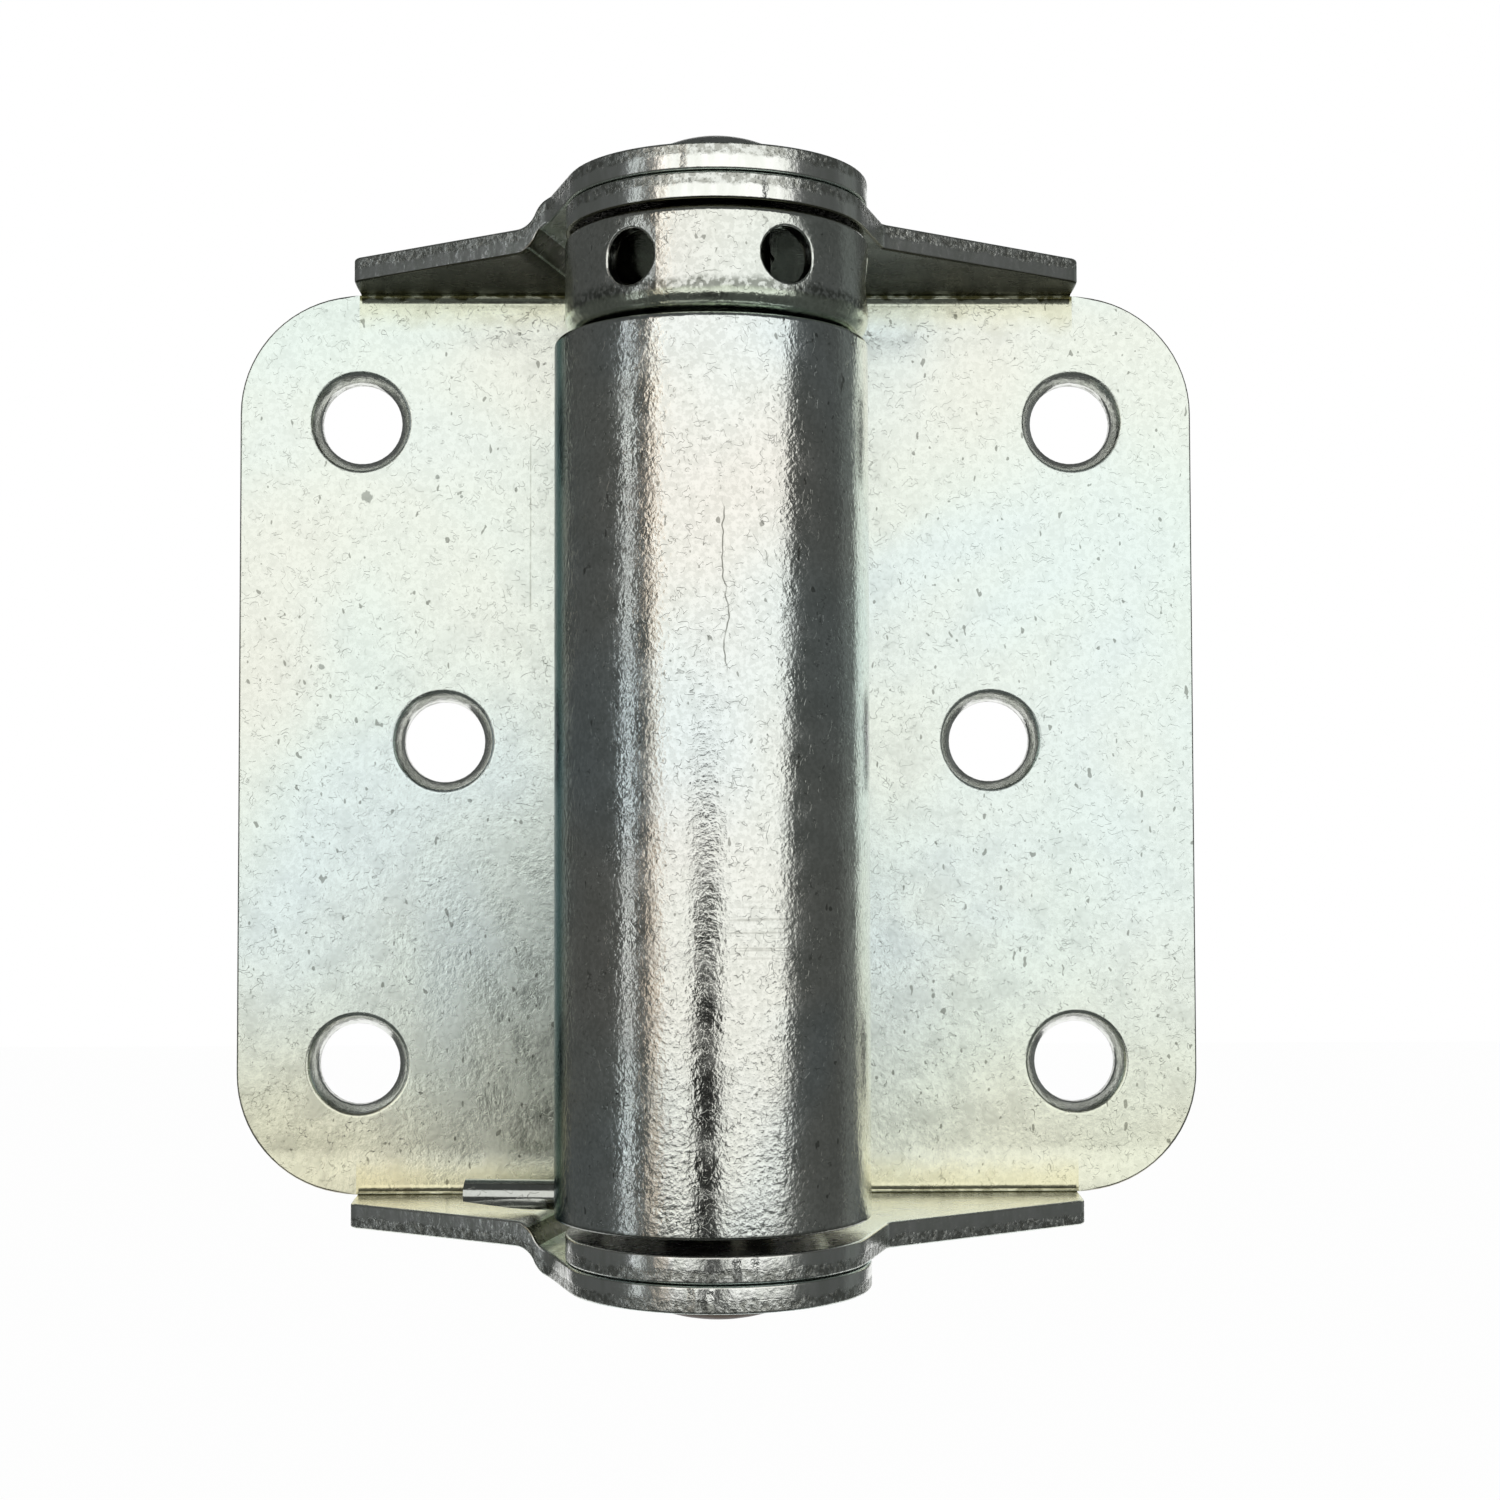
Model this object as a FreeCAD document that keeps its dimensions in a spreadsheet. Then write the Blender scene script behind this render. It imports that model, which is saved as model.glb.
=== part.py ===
"""Adjustable spring hinge: two folded leaves, a riveted pin, a torsion spring in a barrel, a tension collar.

Every piece has its own frame on the pin axis: +X along the door leaf, +Y towards the mounting plane, +Z up
the pin. The assembly's origin lies on the plane of the leaves' backs, level with the middle of the pin.
"""
import FreeCAD, Part
import math
import os
import Sketcher
from FreeCAD import Placement, Rotation, Vector

# Driving dimensions in millimetres and degrees, with what each one is
DIMENSIONS = [
    ("open_width", 76.2, "over both leaves when flat"),
    ("leaf_height", 75.4, "over the outsides of the unjoggled ears"),
    ("sheet_thickness", 1.9, "leaf sheet"),
    ("bend_radius", 0.8, "inside radius of the fold between leaf and ear"),
    ("corner_radius", 9.5, "outer corners of the leaves"),
    ("leaf_gap", 0.8, "between the inner edges when flat"),
    ("axis_standoff", 18.0, "front face of the leaves to the pin axis"),
    ("ear_relief", 0.2, "step between the corner arc and the ear's outer end"),
    ("ear_root_reach", 11.4, "pin axis to the inner end of the fold"),
    ("ear_end_depth", 4.6, "front face of the leaf to the ear's outer front corner"),
    ("ear_edge_angle", 33.0, "front edge of the ear to the leaf"),
    ("ear_corner_radius", 1.2, "outer front corner of the ear"),
    ("cheek_angle", 17.0, "where the ring's round ends in front of the pin axis"),
    ("neck_radius", 1.2, "hollow corner between the ring's cheek and the ear"),
    ("ring_diameter", 21.9, "ring at the end of each ear"),
    ("ring_gap", 0.1, "between the rings that turn on each other"),
    ("joggle_start", 15.6, "pin axis to the outer end of the joggle"),
    ("joggle_end", 12.4, "pin axis to the inner end of the joggle"),
    ("joggle_skew", 14.0, "joggle lines to the depth direction"),
    ("screw_spacing", 51.2, "between the two outer screw holes"),
    ("screw_outer_edge", 9.6, "outer screw holes to the leaf's outer edge"),
    ("screw_middle_edge", 16.3, "middle screw hole to the leaf's outer edge"),
    ("screw_diameter", 6.4, "screw holes"),
    ("countersink_diameter", 8.0, "screw holes at the front face"),
    ("countersink_angle", 82.0, "screw holes"),
    ("pin_diameter", 8.0, "hinge pin shank"),
    ("pin_clearance", 0.05, "pin shank to each ring and the collar, on the radius"),
    ("pin_head_diameter", 14.5, "both rivet heads"),
    ("pin_head_height", 3.25, "formed head at the top"),
    ("pin_tail_height", 2.2, "peened head at the bottom"),
    ("collar_diameter", 22.0, "tension collar"),
    ("collar_height", 7.3, "tension collar"),
    ("collar_wall", 1.2, "tension collar's side"),
    ("collar_floor", 1.2, "tension collar's top"),
    ("collar_chamfer", 0.4, "upper edge of the collar"),
    ("collar_roll", 1.5, "outside radius of the collar's rolled-in foot"),
    ("collar_clearance", 0.3, "collar to the door leaf's upper ring"),
    ("collar_hole_diameter", 3.9, "holes for the tension rod"),
    ("collar_hole_count", 6, "holes for the tension rod"),
    ("collar_hole_height", 4.0, "lower edge of the collar to the holes' centres"),
    ("collar_turn", -33.5, "first hole from straight ahead"),
    ("barrel_diameter", 22.7, "spring barrel"),
    ("barrel_wall", 1.0, "spring barrel"),
    ("barrel_edge", 0.45, "round on the barrel's upper edge"),
    ("barrel_clearance", 0.2, "barrel's top to the collar"),
    ("barrel_foot_gap", 1.1, "barrel's foot to the door leaf's lower ring"),
    ("barrel_play", 0.4, "barrel's loose seat off the pin axis"),
    ("notch_clearance", 0.15, "spring tail to the notch in the barrel's foot"),
    ("wire_diameter", 2.26, "spring wire"),
    ("coil_diameter", 14.0, "spring, to the middle of the wire"),
    ("coil_turns", 18, "whole turns of the spring"),
    ("coil_seat_gap", 0.2, "lowest turn to the door leaf's lower ring"),
    ("coil_head_gap", 5.3, "highest turn to the collar's top, inside"),
    ("tail_angle", 6.0, "spring tail to the leaves"),
    ("tail_reach", 19.0, "pin axis to the end of the spring tail"),
    ("tail_crop_length", 5.0, "slanting crop under the tail's end"),
    ("tail_crop_angle", 8.0, "slanting crop under the tail's end"),
    ("leg_clearance", 0.15, "spring's upper leg to its hole in the collar, on the radius"),
]
SECTIONS_PER_TURN = 8
WIRE_SIDES = 6
ROLL_FLATS = 2
EDGE_FLATS = 2

doc = FreeCAD.newDocument("spring_hinge")
sheet = doc.addObject("Spreadsheet::Sheet", "Dims")
for row, (alias, value, meaning) in enumerate(DIMENSIONS, start=1):
    sheet.set(f"A{row}", meaning)
    sheet.set(f"B{row}", str(value))
    sheet.setAlias(f"B{row}", alias)
doc.recompute()


class Size:
    """A length, angle or count with its value now and the expression that ties it to the sheet."""

    def __init__(self, value, text):
        self.value = value
        self.text = text

    @staticmethod
    def of(other):
        return other if isinstance(other, Size) else Size(float(other), f"{float(other)}")

    def combine(self, other, sign, value):
        return Size(value, f"({self.text} {sign} {Size.of(other).text})")

    def __add__(self, other):
        return self.combine(other, "+", self.value + Size.of(other).value)

    def __sub__(self, other):
        return self.combine(other, "-", self.value - Size.of(other).value)

    def __mul__(self, other):
        return self.combine(other, "*", self.value * Size.of(other).value)

    def __truediv__(self, other):
        return self.combine(other, "/", self.value / Size.of(other).value)

    def __neg__(self):
        return Size(-self.value, f"(0 - {self.text})")


def dim(alias):
    return Size(float(sheet.get(alias)), f"Dims.{alias}")


def sine(angle):
    return Size(math.sin(math.radians(angle.value)), f"sin({angle.text} * 1 deg)")


def cosine(angle):
    return Size(math.cos(math.radians(angle.value)), f"cos({angle.text} * 1 deg)")


def tangent(angle):
    return Size(math.tan(math.radians(angle.value)), f"tan({angle.text} * 1 deg)")


def root(square):
    return Size(math.sqrt(square.value), f"sqrt({square.text})")


def half(size):
    return size / 2


# Heights and depths that several pieces share
THICK = dim("sheet_thickness")
FRONT = dim("axis_standoff")
BACK = FRONT + THICK
EAR_INSIDE = half(dim("leaf_height")) - THICK
FOLD_Y = FRONT - dim("bend_radius")
FOLD_Z = EAR_INSIDE - dim("bend_radius")
JOGGLE_RISE = THICK + dim("ring_gap")
STACK_TOP = EAR_INSIDE + THICK + JOGGLE_RISE
RING_RADIUS = half(dim("ring_diameter"))
PIN_BORE = half(dim("pin_diameter")) + dim("pin_clearance")
LEAF_EDGE = half(dim("open_width"))
EAR_END = LEAF_EDGE - dim("corner_radius") - dim("ear_relief")
COLLAR_TOP = EAR_INSIDE - dim("collar_clearance")
COLLAR_FOOT = COLLAR_TOP - dim("collar_height")
BARREL_TOP = COLLAR_FOOT - dim("barrel_clearance")
BARREL_FOOT = dim("barrel_foot_gap") - EAR_INSIDE
WIRE_RADIUS = half(dim("wire_diameter"))
COIL_RADIUS = half(dim("coil_diameter"))
COIL_FOOT = dim("coil_seat_gap") + WIRE_RADIUS - EAR_INSIDE
COIL_HEAD = COLLAR_TOP - dim("collar_floor") - dim("coil_head_gap") - WIRE_RADIUS
TAIL_ROOT_ANGLE = Size(90.0, "90") - dim("tail_angle")


def new_body(name, shift_x=None, turn=None):
    """An empty body on the pin axis, shifted along X or turned about the pin where its seat needs it."""
    body = doc.addObject("PartDesign::Body", name)
    body.Label = name
    if turn is not None:
        body.Placement = Placement(Vector(), Rotation(Vector(0, 0, 1), turn.value))
        body.setExpression("Placement.Rotation.Angle", turn.text)
    body.setExpression("Placement.Base.y", (-BACK).text)
    if shift_x is not None:
        body.setExpression("Placement.Base.x", shift_x.text)
    return body


def new_sketch(body, name, plane, offset=None, turn=None):
    """A sketch on one of the body's own planes, moved along its normal and turned about its upright axis."""
    sketch = body.newObject("Sketcher::SketchObject", name)
    support = next(f for f in body.Origin.OriginFeatures if f.Role == plane)
    sketch.AttachmentSupport = [(support, "")]
    sketch.MapMode = "FlatFace"
    if turn is not None:
        sketch.AttachmentOffset = Placement(Vector(), Rotation(Vector(0, 1, 0), turn.value))
        sketch.setExpression("AttachmentOffset.Rotation.Angle", turn.text)
    if offset is not None:
        sketch.setExpression("AttachmentOffset.Base.z", offset.text)
    return sketch


def bind(sketch, constraint, size):
    index = sketch.addConstraint(constraint)
    sketch.setExpression(f"Constraints[{index}]", size.text)


def arc_through(start, end, radius):
    """The shorter arc from start to end. A positive radius bulges to the right of the way from start to end."""
    chord = end - start
    across = Vector(chord.y, -chord.x, 0).normalize()
    rise = abs(radius) - math.sqrt(max(radius * radius - chord.Length ** 2 / 4, 0.0))
    middle = (start + end) * 0.5 + across * math.copysign(rise, radius)
    return Part.Arc(start, middle, end)


def draw_outline(sketch, points):
    """A closed outline of (x, y) or (x, y, radius) points, where a radius makes the next stretch an arc.

    Each corner's place and each arc's radius is bound to the sheet. A radius is (Size, side), with side +1
    for an arc that bulges to the right of the way round and -1 for one that bulges to the left.
    """
    places = [Vector(p[0].value, p[1].value, 0) for p in points]
    first = sketch.GeometryCount
    for k, point in enumerate(points):
        start = places[k]
        end = places[(k + 1) % len(places)]
        if len(point) == 2:
            sketch.addGeometry(Part.LineSegment(start, end), False)
        else:
            size, side = point[2]
            sketch.addGeometry(arc_through(start, end, size.value * side), False)
    ends = [end_numbers(sketch, first + k, places[k]) for k in range(len(points))]
    for k, point in enumerate(points):
        here = first + k
        after = (k + 1) % len(points)
        sketch.addConstraint(Sketcher.Constraint("Coincident", here, ends[k][1], first + after, ends[after][0]))
        bind(sketch, Sketcher.Constraint("DistanceX", -1, 1, here, ends[k][0], point[0].value), point[0])
        bind(sketch, Sketcher.Constraint("DistanceY", -1, 1, here, ends[k][0], point[1].value), point[1])
        if len(point) == 3:
            bind(sketch, Sketcher.Constraint("Radius", here, point[2][0].value), point[2][0])


def end_numbers(sketch, k, start):
    """The numbers of a stretch's first and last point: an arc is always stored anticlockwise."""
    if (sketch.getPoint(k, 1) - start).Length < 1e-6:
        return 1, 2
    return 2, 1


def draw_circle(sketch, x, y, radius):
    k = sketch.addGeometry(Part.Circle(Vector(x.value, y.value, 0), Vector(0, 0, 1), radius.value), False)
    bind(sketch, Sketcher.Constraint("DistanceX", -1, 1, k, 3, x.value), x)
    bind(sketch, Sketcher.Constraint("DistanceY", -1, 1, k, 3, y.value), y)
    bind(sketch, Sketcher.Constraint("Radius", k, radius.value), radius)


def add_feature(body, kind, name, sketch, **settings):
    feature = body.newObject(f"PartDesign::{kind}", name)
    feature.Profile = sketch
    sketch.Visibility = False
    for key, value in settings.items():
        if isinstance(value, Size):
            feature.setExpression(key, value.text)
        else:
            setattr(feature, key, value)
    doc.recompute()
    return feature


def revolve(body, name, points):
    """A solid of revolution about the pin axis from an outline of (radius, height) points."""
    sketch = new_sketch(body, f"{name}_profile", "XZ_Plane")
    draw_outline(sketch, points)
    return add_feature(body, "Revolution", name, sketch, ReferenceAxis=(sketch, ["V_Axis"]), Angle=360.0)


def round_corner(middle, height, radius, first, flats):
    """Corners of a quarter round in a turned section, from the first angle on, made of cones for a light mesh."""
    angles = [first + 90.0 * k / flats for k in range(flats + 1)]
    steps = [Size(angle, f"({angle})") for angle in angles]
    return [(middle + radius * cosine(step), height + radius * sine(step)) for step in steps]


def ear_outline(side):
    """The ear seen from above, from the fold's outer end round the ring to the fold's inner end."""
    angle = dim("ear_edge_angle")
    run, drop = cosine(angle), sine(angle)
    corner_y = FRONT - dim("ear_end_depth")
    corner = dim("ear_corner_radius")
    corner_run = corner * (Size(1.0, "1") - drop) / run
    edge_distance = EAR_END * drop - corner_y * run
    cheek = dim("cheek_angle")
    cheek_x, cheek_y = sine(cheek), cosine(cheek)
    spread = cosine(angle + cheek)
    neck_x = (RING_RADIUS * run - edge_distance * cheek_x) / spread
    neck_y = (RING_RADIUS * drop - edge_distance * cheek_y) / spread
    neck = dim("neck_radius")
    neck_run = neck * tangent(half(Size(90.0, "90") - angle - cheek))
    foot = dim("ear_root_reach")
    span = foot * foot + FOLD_Y * FOLD_Y
    slope = root(span - RING_RADIUS * RING_RADIUS)
    touch_x = RING_RADIUS * (foot * RING_RADIUS - FOLD_Y * slope) / span
    touch_y = RING_RADIUS * (FOLD_Y * RING_RADIUS + foot * slope) / span
    points = [
        (EAR_END, FOLD_Y),
        (EAR_END, corner_y + corner_run, (corner, -side)),
        (EAR_END - corner_run * run, corner_y - corner_run * drop),
        (neck_x + neck_run * run, neck_y + neck_run * drop, (neck, side)),
        (neck_x - neck_run * cheek_x, neck_y - neck_run * cheek_y),
        (RING_RADIUS * cheek_y, -RING_RADIUS * cheek_x, (RING_RADIUS, -side)),
        (Size(0.0, "0"), -RING_RADIUS, (RING_RADIUS, -side)),
        (-RING_RADIUS, Size(0.0, "0"), (RING_RADIUS, -side)),
        (touch_x, touch_y),
        (foot, FOLD_Y),
    ]
    if side > 0:
        return points
    return [(-p[0],) + tuple(p[1:]) for p in points]


def leaf_plate(body, side):
    """The flat of the leaf with its two rounded outer corners, low beside the folds."""
    corner = dim("corner_radius")
    arc_x = LEAF_EDGE - corner
    arc_z = EAR_INSIDE - corner
    inner = half(dim("leaf_gap"))
    points = [
        (inner, -FOLD_Z),
        (EAR_END, -FOLD_Z),
        (EAR_END, -EAR_INSIDE),
        (arc_x, -EAR_INSIDE, (corner, side)),
        (LEAF_EDGE, -arc_z),
        (LEAF_EDGE, arc_z, (corner, side)),
        (arc_x, EAR_INSIDE),
        (EAR_END, EAR_INSIDE),
        (EAR_END, FOLD_Z),
        (inner, FOLD_Z),
    ]
    if side < 0:
        points = [(-p[0],) + tuple(p[1:]) for p in points]
    sketch = new_sketch(body, f"{body.Name}_plate_outline", "XZ_Plane", offset=-BACK)
    draw_outline(sketch, points)
    return add_feature(body, "Pad", f"{body.Name}_plate", sketch, Length=THICK)


def leaf_fold(body, side):
    """The quarter round between the leaf's flat and its upper ear."""
    bend = dim("bend_radius")
    first = dim("ear_root_reach") if side > 0 else -EAR_END
    points = [
        (BACK, FOLD_Z, (bend + THICK, 1)),
        (FOLD_Y, EAR_INSIDE + THICK),
        (FOLD_Y, EAR_INSIDE, (bend, -1)),
        (FRONT, FOLD_Z),
    ]
    sketch = new_sketch(body, f"{body.Name}_fold_section", "YZ_Plane", offset=first)
    draw_outline(sketch, points)
    return add_feature(body, "Pad", f"{body.Name}_fold", sketch, Length=EAR_END - dim("ear_root_reach"))


def plain_ear(body, side):
    sketch = new_sketch(body, f"{body.Name}_ear_outline", "XY_Plane", offset=EAR_INSIDE)
    draw_outline(sketch, ear_outline(side))
    return [add_feature(body, "Pad", f"{body.Name}_ear", sketch, Length=THICK)]


def joggled_ear(body, side):
    """An ear that steps outwards by a sheet's thickness before its ring: a joggled band cut to the outline."""
    start = -dim("joggle_start")
    end = -dim("joggle_end")
    middle = half(start + end)
    run = end - start
    bow = (run * run + JOGGLE_RISE * JOGGLE_RISE) / (JOGGLE_RISE * 4)
    far = -(LEAF_EDGE + FRONT)
    near = dim("ring_diameter")
    low = EAR_INSIDE
    high = EAR_INSIDE + JOGGLE_RISE
    points = [
        (far, low),
        (start, low, (bow, 1)),
        (middle, half(low + high), (bow, -1)),
        (end, high),
        (near, high),
        (near, high + THICK),
        (end, high + THICK, (bow, 1)),
        (middle, half(low + high) + THICK, (bow, -1)),
        (start, low + THICK),
        (far, low + THICK),
    ]
    band_sketch = new_sketch(body, f"{body.Name}_joggle_section", "XZ_Plane", turn=-dim("joggle_skew"))
    draw_outline(band_sketch, points)
    band = add_feature(body, "Pad", f"{body.Name}_joggle", band_sketch, Length=dim("open_width"), Midplane=True)
    reach = dim("open_width") * 2
    trim_sketch = new_sketch(body, f"{body.Name}_ear_waste", "XY_Plane", offset=EAR_INSIDE)
    draw_outline(trim_sketch, [(-reach, -reach), (reach, -reach), (reach, reach), (-reach, reach)])
    draw_outline(trim_sketch, ear_outline(side))
    trim = add_feature(body, "Pocket", f"{body.Name}_ear_trim", trim_sketch, Type="ThroughAll", Reversed=True)
    return [band, trim]


def screw_holes(body, side):
    """Three countersunk screw holes, opened at the front face."""
    sketch = new_sketch(body, f"{body.Name}_screw_places", "XZ_Plane", offset=-FRONT)
    outer = (LEAF_EDGE - dim("screw_outer_edge")) * side
    middle = (LEAF_EDGE - dim("screw_middle_edge")) * side
    rise = half(dim("screw_spacing"))
    radius = half(dim("screw_diameter"))
    draw_circle(sketch, outer, rise, radius)
    draw_circle(sketch, middle, Size(0.0, "0"), radius)
    draw_circle(sketch, outer, -rise, radius)
    hole = body.newObject("PartDesign::Hole", f"{body.Name}_screw_holes")
    hole.Profile = sketch
    sketch.Visibility = False
    doc.recompute()
    hole.DepthType = "ThroughAll"
    hole.HoleCutType = "Countersink"
    hole.HoleCutCustomValues = True
    hole.setExpression("Diameter", dim("screw_diameter").text)
    hole.setExpression("HoleCutDiameter", dim("countersink_diameter").text)
    hole.setExpression("HoleCutCountersinkAngle", dim("countersink_angle").text)
    doc.recompute()
    return hole


def make_leaf(name, side, make_ear):
    """One leaf: a sheet with two ears folded forwards, each with a ring round the pin."""
    body = new_body(name)
    ear = make_ear(body, side)
    fold = leaf_fold(body, side)
    leaf_plate(body, side)
    mirror = body.newObject("PartDesign::Mirrored", f"{name}_lower_ear")
    mirror.Originals = ear + [fold]
    plane = next(f for f in body.Origin.OriginFeatures if f.Role == "XY_Plane")
    mirror.MirrorPlane = (plane, [""])
    body.Tip = mirror
    doc.recompute()
    bore_sketch = new_sketch(body, f"{name}_pin_bore_outline", "XY_Plane")
    draw_circle(bore_sketch, Size(0.0, "0"), Size(0.0, "0"), PIN_BORE)
    add_feature(body, "Pocket", f"{name}_pin_bore", bore_sketch, Type="ThroughAll", Midplane=True)
    screw_holes(body, side)
    return body


def make_pin():
    """The pin: a shank through all four rings, with a domed head at the top and a peened one at the bottom."""
    body = new_body("hinge_pin")
    shank = half(dim("pin_diameter"))
    rim = half(dim("pin_head_diameter"))
    axis = Size(0.0, "0")

    def dome(height):
        return (rim * rim + height * height) / (height * 2)

    head = dim("pin_head_height")
    tail = dim("pin_tail_height")
    revolve(body, "hinge_pin_turned", [
        (axis, -STACK_TOP - tail, (dome(tail), 1)),
        (rim, -STACK_TOP),
        (shank, -STACK_TOP),
        (shank, STACK_TOP),
        (rim, STACK_TOP, (dome(head), 1)),
        (axis, STACK_TOP + head),
    ])
    return body


def make_collar():
    """The tension collar: a cup over the spring's upper end, rolled in at its foot, with holes for the rod."""
    body = new_body("tension_collar", turn=dim("collar_turn"))
    outer = half(dim("collar_diameter"))
    wall = dim("collar_wall")
    roll = dim("collar_roll")
    chamfer = dim("collar_chamfer")
    ceiling = COLLAR_TOP - dim("collar_floor")
    revolve(body, "collar_cup", [
        *round_corner(outer - roll, COLLAR_FOOT + roll, roll, -90.0, ROLL_FLATS),
        (outer, COLLAR_TOP - chamfer),
        (outer - chamfer, COLLAR_TOP),
        (PIN_BORE, COLLAR_TOP),
        (PIN_BORE, ceiling),
        (outer - wall, ceiling),
        (outer - wall, COLLAR_FOOT + roll),
        (outer - roll, COLLAR_FOOT + wall),
    ])
    hole_sketch = new_sketch(body, "collar_hole_outline", "XZ_Plane")
    draw_circle(hole_sketch, Size(0.0, "0"), COLLAR_FOOT + dim("collar_hole_height"),
                half(dim("collar_hole_diameter")))
    hole = add_feature(body, "Pocket", "collar_hole", hole_sketch, Length=dim("collar_diameter"), Reversed=True)
    ring = body.newObject("PartDesign::PolarPattern", "collar_holes")
    ring.Originals = [hole]
    pin_line = next(f for f in body.Origin.OriginFeatures if f.Role == "Z_Axis")
    ring.Axis = (pin_line, [""])
    ring.Angle = 360.0
    ring.setExpression("Occurrences", dim("collar_hole_count").text)
    body.Tip = ring
    doc.recompute()
    leg_angle = TAIL_ROOT_ANGLE - dim("collar_turn")
    leg_sketch = new_sketch(body, "spring_leg_hole_outline", "XY_Plane")
    draw_circle(leg_sketch, COIL_RADIUS * cosine(leg_angle), COIL_RADIUS * sine(leg_angle),
                WIRE_RADIUS + dim("leg_clearance"))
    add_feature(body, "Pocket", "spring_leg_hole", leg_sketch, Type="ThroughAll", Reversed=True)
    return body


def make_barrel():
    """The spring barrel: a tube with an eased upper edge, and a notch in its foot over the spring's tail."""
    body = new_body("spring_barrel", shift_x=-dim("barrel_play"))
    outer = half(dim("barrel_diameter"))
    wall = dim("barrel_wall")
    edge = dim("barrel_edge")
    revolve(body, "barrel_tube", [
        (outer - wall, BARREL_FOOT),
        (outer, BARREL_FOOT),
        *round_corner(outer - edge, BARREL_TOP - edge, edge, 0.0, EDGE_FLATS),
        (outer - wall, BARREL_TOP),
    ])
    angle = dim("tail_angle")
    run, rise = cosine(angle), sine(angle)
    play = dim("barrel_play")
    reach = WIRE_RADIUS + dim("notch_clearance")

    def beside_tail(along, across):
        return (play - along * run + across * rise, along * rise + across * run)

    sketch = new_sketch(body, "tail_notch_outline", "XY_Plane", offset=BARREL_FOOT)
    inside, outside = COIL_RADIUS - reach, COIL_RADIUS + reach
    near, far = half(outer), outer * 2
    draw_outline(sketch, [beside_tail(near, inside), beside_tail(far, inside),
                          beside_tail(far, outside), beside_tail(near, outside)])
    height = COIL_FOOT + reach - BARREL_FOOT
    add_feature(body, "Pocket", "tail_notch", sketch, Length=height, Reversed=True)
    return body


def wire_section(angle, height):
    """The corners of one cross-section of the coiled wire, in the plane through the pin axis."""
    corners = []
    for k in range(WIRE_SIDES):
        turn = 2 * math.pi * (k + 0.5) / WIRE_SIDES
        radius = COIL_RADIUS.value + WIRE_RADIUS.value * math.cos(turn)
        corners.append(Vector(radius * math.cos(angle), radius * math.sin(angle),
                              height + WIRE_RADIUS.value * math.sin(turn)))
    return corners


def flat_face(corners):
    return Part.Face(Part.makePolygon(corners + corners[:1]))


def faceted_wire(sections):
    """A closed solid along the sections, with two flat triangles on each side of each stretch."""
    faces = [flat_face(sections[0]), flat_face(sections[-1])]
    for lower, upper in zip(sections, sections[1:]):
        for k in range(WIRE_SIDES):
            after = (k + 1) % WIRE_SIDES
            faces.append(flat_face([lower[k], lower[after], upper[k]]))
            faces.append(flat_face([upper[k], lower[after], upper[after]]))
    solid = Part.makeSolid(Part.makeShell(faces))
    if solid.Volume < 0:
        solid.reverse()
    return solid


def make_spring():
    """The torsion spring: a left-hand coil, a straight tail past the barrel and a leg up into the collar."""
    turns = int(dim("coil_turns").value)
    first = math.radians(TAIL_ROOT_ANGLE.value)
    foot, head = COIL_FOOT.value, COIL_HEAD.value
    steps = turns * SECTIONS_PER_TURN
    sections = [wire_section(first - 2 * math.pi * turns * k / steps, foot + (head - foot) * k / steps)
                for k in range(steps + 1)]
    coil = faceted_wire(sections)
    wire = WIRE_RADIUS.value
    start = Vector(math.cos(first), math.sin(first), 0) * COIL_RADIUS.value
    away = Vector(-math.sin(first), math.cos(first), 0)
    tail_length = (dim("tail_reach").value + start.x) / -away.x
    tail = Part.makeCylinder(wire, tail_length, start + Vector(0, 0, foot), away)
    crop_length = dim("tail_crop_length").value
    crop = Part.makeBox(crop_length * 2, 4 * wire, 2 * wire, Vector(-crop_length * 2, -2 * wire, -3 * wire))
    crop.rotate(Vector(-crop_length, 0, -wire), Vector(0, 1, 0), dim("tail_crop_angle").value)
    crop.rotate(Vector(), Vector(0, 0, 1), math.degrees(math.atan2(-away.y, -away.x)))
    crop.translate(start + away * (tail_length - crop_length * 2) + Vector(0, 0, foot))
    leg_top = COLLAR_TOP.value - half(dim("collar_floor")).value
    leg_foot = head - wire
    leg = Part.makeCylinder(wire, leg_top - leg_foot, start + Vector(0, 0, leg_foot))
    shape = coil.fuse([tail.cut(crop), leg]).removeSplitter()
    spring = doc.addObject("Part::Feature", "torsion_spring")
    spring.Label = "torsion_spring"
    spring.Shape = shape.Solids[0] if len(shape.Solids) == 1 else shape
    spring.Placement = Placement(Vector(0, -BACK.value, 0), Rotation())
    return spring


pieces = [
    make_leaf("frame_leaf", -1, joggled_ear),
    make_leaf("door_leaf", 1, plain_ear),
    make_pin(),
    make_collar(),
    make_barrel(),
    make_spring(),
]
doc.recompute()

failed = [o.Name for o in doc.Objects if "Invalid" in o.State or "Error" in o.State]
if failed:
    raise RuntimeError(f"these features failed: {failed}")
for piece in pieces:
    if piece.Shape.isNull() or not piece.Shape.isValid() or len(piece.Shape.Solids) != 1:
        raise RuntimeError(f"{piece.Label} is not one sound solid")

os.makedirs("parts", exist_ok=True)
for piece in pieces:
    piece.Shape.exportStep(f"parts/{piece.Label}.step")
    box = piece.Shape.optimalBoundingBox()
    print(f"{piece.Label}: {piece.Shape.Volume:.1f} mm3, x {box.XMin:.2f} to {box.XMax:.2f}, "
          f"y {box.YMin:.2f} to {box.YMax:.2f}, z {box.ZMin:.2f} to {box.ZMax:.2f}")
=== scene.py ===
import math
import bmesh
import bpy
from mathutils import Matrix, Vector


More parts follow.
